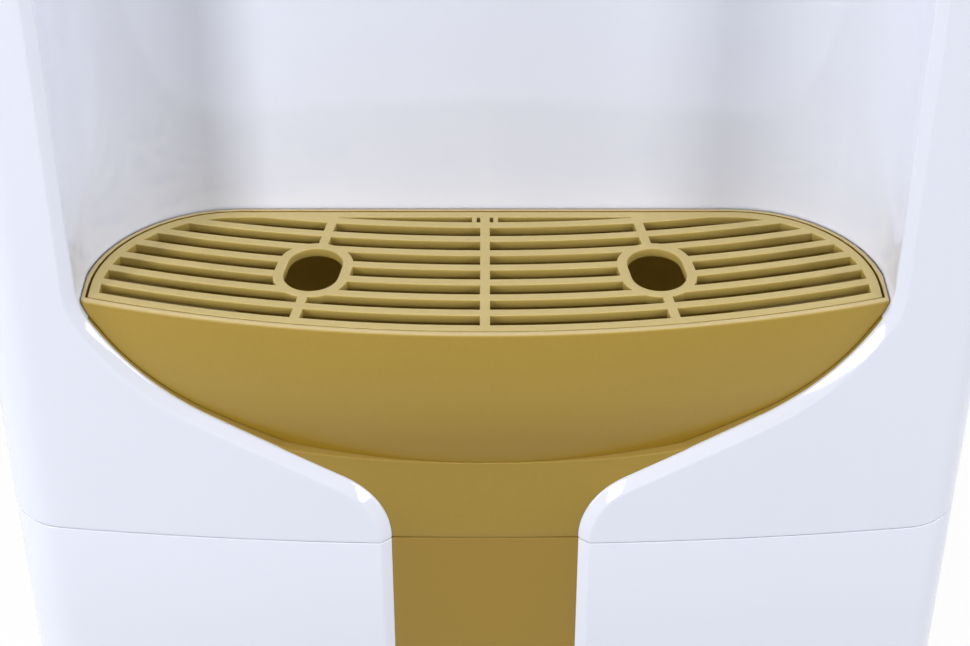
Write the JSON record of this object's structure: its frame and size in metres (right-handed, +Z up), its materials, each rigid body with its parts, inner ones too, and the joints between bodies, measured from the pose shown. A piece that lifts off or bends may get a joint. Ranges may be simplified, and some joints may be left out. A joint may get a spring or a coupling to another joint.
{
  "type": "water cooler",
  "caption": "Floor-standing water cooler with a cup alcove, hot and cold push taps, lift-out drip tray with slotted grille, bottle seat on top and a rear condenser.",
  "frame": {"origin": "on the floor under the middle of the overall box", "axes": "+X to the right seen from the front, front towards -Y, +Z up"},
  "size_m": [0.312, 0.34, 1],
  "materials": {
    "white_shell": "glossy moulded ABS",
    "gold_plastic": "satin gold-painted ABS",
    "white_steel": "powder-coated sheet steel",
    "zinc_steel": "zinc-plated sheet steel",
    "stainless": "stainless steel",
    "base_plastic": "grey moulded plastic",
    "tap_plastic": "white moulded tap",
    "clear_plastic": "natural polypropylene",
    "lens_plastic": "diffusing lens",
    "red_plastic": "red moulded plastic",
    "blue_plastic": "blue moulded plastic",
    "black_plastic": "black moulded plastic",
    "black_steel": "black stoved enamel",
    "rubber": "moulded rubber",
    "silicone": "silicone tube",
    "copper": "bare copper tube",
    "foam": "expanded polystyrene",
    "jacket_foam": "closed-cell foam",
    "board": "printed circuit board"
  },
  "bodies": {
    "cabinet": {"front_cover": "white_shell", "lower_front_panel": "white_shell", "top_cover": "white_shell", "tank_lid": "white_shell", "centre_strip": "gold_plastic", "tray_cradle": "gold_plastic", "indicator_fascia": "gold_plastic", "left_side_panel": "white_steel", "right_side_panel": "white_steel", "rear_panel": "zinc_steel", "middle_shelf": "zinc_steel", "tank_shelf": "zinc_steel", "tap_pins": "zinc_steel", "cabinet_screws": "zinc_steel", "compressor_bolts": "zinc_steel", "condenser_brackets": "zinc_steel", "cold_tank": "stainless", "hot_tank": "stainless", "heater_band": "stainless", "base_pan": "base_plastic", "cold_baffle": "base_plastic", "drain_spouts": "base_plastic", "hot_tap_body": "tap_plastic", "cold_tap_body": "tap_plastic", "tap_nuts": "clear_plastic", "indicator_lenses": "lens_plastic", "power_inlet": "black_plastic", "switch_housings": "black_plastic", "relay_cover": "black_plastic", "hot_thermostats": "black_plastic", "compressor": "black_steel", "compressor_bracket": "black_steel", "condenser_tube": "black_steel", "condenser_wires": "black_steel", "feet": "rubber", "tap_gaskets": "rubber", "compressor_grommets": "rubber", "feed_tube": "silicone", "hot_tube": "silicone", "cold_tube": "silicone", "drain_tubes": "silicone", "evaporator_coil": "copper", "filter_drier": "copper", "suction_line": "copper", "cold_insulation": "foam", "hot_jacket": "jacket_foam", "indicator_board": "board"},
    "tray": {"drip_tray": "gold_plastic"},
    "grille": {"drip_grille": "gold_plastic"},
    "seat": {"bottle_seat": "white_shell", "feed_probe": "clear_plastic"},
    "hot_lever": {"hot_tap_lever": "tap_plastic"},
    "cold_lever": {"cold_tap_lever": "tap_plastic"},
    "hot_stem": {"hot_tap_stem": "clear_plastic"},
    "cold_stem": {"cold_tap_stem": "clear_plastic"},
    "hot_lock": {"hot_tap_lock": "red_plastic"},
    "hot_rocker": {"hot_switch": "red_plastic"},
    "cold_rocker": {"cold_switch": "blue_plastic"},
    "hot_cap": {"hot_drain_cap": "red_plastic"},
    "cold_cap": {"cold_drain_cap": "blue_plastic"}
  },
  "joints": [
    {"name": "tray_lift", "type": "slide", "parent": "cabinet", "child": "tray", "axis": [0, -0.342, 0.9397], "range_m": [0, 0.08]},
    {"name": "grille_lift", "type": "slide", "parent": "tray", "child": "grille", "axis": [0, 0, 1], "range_m": [0, 0.04]},
    {"name": "seat_lift", "type": "slide", "parent": "cabinet", "child": "seat", "axis": [0, 0, 1], "range_m": [0, 0.12]},
    {"name": "hot_lever_press", "type": "hinge", "parent": "cabinet", "child": "hot_lever", "pos_m": [-0.053, -0.1444, 0.826], "axis": [1, 0, 0], "range_deg": [0, 18], "stiffness_Nm_per_rad": 0.6, "springref_deg": -8.59},
    {"name": "cold_lever_press", "type": "hinge", "parent": "cabinet", "child": "cold_lever", "pos_m": [0.053, -0.1444, 0.826], "axis": [1, 0, 0], "range_deg": [0, 18], "stiffness_Nm_per_rad": 0.6, "springref_deg": -8.59},
    {"name": "hot_stem_rise", "type": "slide", "parent": "cabinet", "child": "hot_stem", "axis": [0, 0, 1], "range_m": [0, 0.003]},
    {"name": "cold_stem_rise", "type": "slide", "parent": "cabinet", "child": "cold_stem", "axis": [0, 0, 1], "range_m": [0, 0.003]},
    {"name": "hot_lock_slide", "type": "slide", "parent": "hot_lever", "child": "hot_lock", "axis": [0, 1, 0], "range_m": [0, 0.0035], "stiffness_N_per_m": 300, "springref_m": -0.001},
    {"name": "hot_rocker_tip", "type": "hinge", "parent": "cabinet", "child": "hot_rocker", "pos_m": [-0.04, 0.1363, 0.886], "axis": [1, 0, 0], "range_deg": [0, 20]},
    {"name": "cold_rocker_tip", "type": "hinge", "parent": "cabinet", "child": "cold_rocker", "pos_m": [0.04, 0.1363, 0.886], "axis": [1, 0, 0], "range_deg": [0, 20]},
    {"name": "hot_cap_pull", "type": "slide", "parent": "cabinet", "child": "hot_cap", "axis": [0, 1, 0], "range_m": [0, 0.03]},
    {"name": "cold_cap_pull", "type": "slide", "parent": "cabinet", "child": "cold_cap", "axis": [0, 1, 0], "range_m": [0, 0.03]}
  ],
  "couplings": [
    {"joint": "hot_stem_rise", "follows": "hot_lever_press", "m_per_rad": 0.009},
    {"joint": "cold_stem_rise", "follows": "cold_lever_press", "m_per_rad": 0.009}
  ]
}
